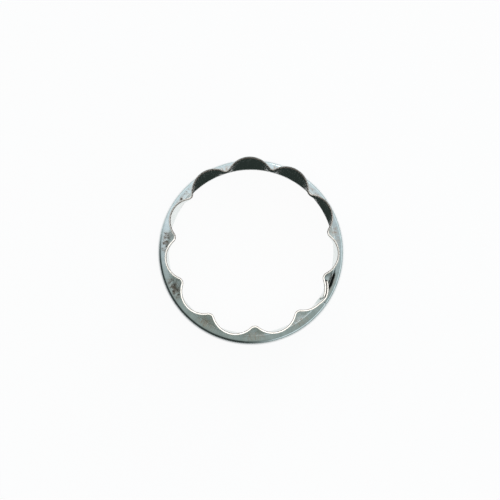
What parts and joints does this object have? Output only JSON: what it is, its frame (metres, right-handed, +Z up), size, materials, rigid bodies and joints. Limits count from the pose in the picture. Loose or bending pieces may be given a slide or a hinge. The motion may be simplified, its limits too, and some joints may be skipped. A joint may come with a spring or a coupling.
{
  "type": "cookie cutter",
  "caption": "Round fluted cookie cutter: an open tinplate ring with a scalloped cutting edge, a lapped and soldered seam and a plain flared rim turned under round a wire, for stamping shapes from rolled dough",
  "frame": {"origin": "on the bench at the ring's axis, level with the underside of the rim", "axes": "+Z up along the ring's axis towards the cutting edge, -Y to the front, +X to the right"},
  "size_m": [0.07, 0.07, 0.022],
  "materials": {
    "tinplate": "bright tinned sheet, polished, with faint rolling lines",
    "steel_wire": "plain drawn wire",
    "soft_solder": "dull grey solder"
  },
  "bodies": {
    "root": {"fluted_band": "tinplate", "rim_wire": "steel_wire", "seam_solder": "soft_solder"}
  },
  "joints": []
}
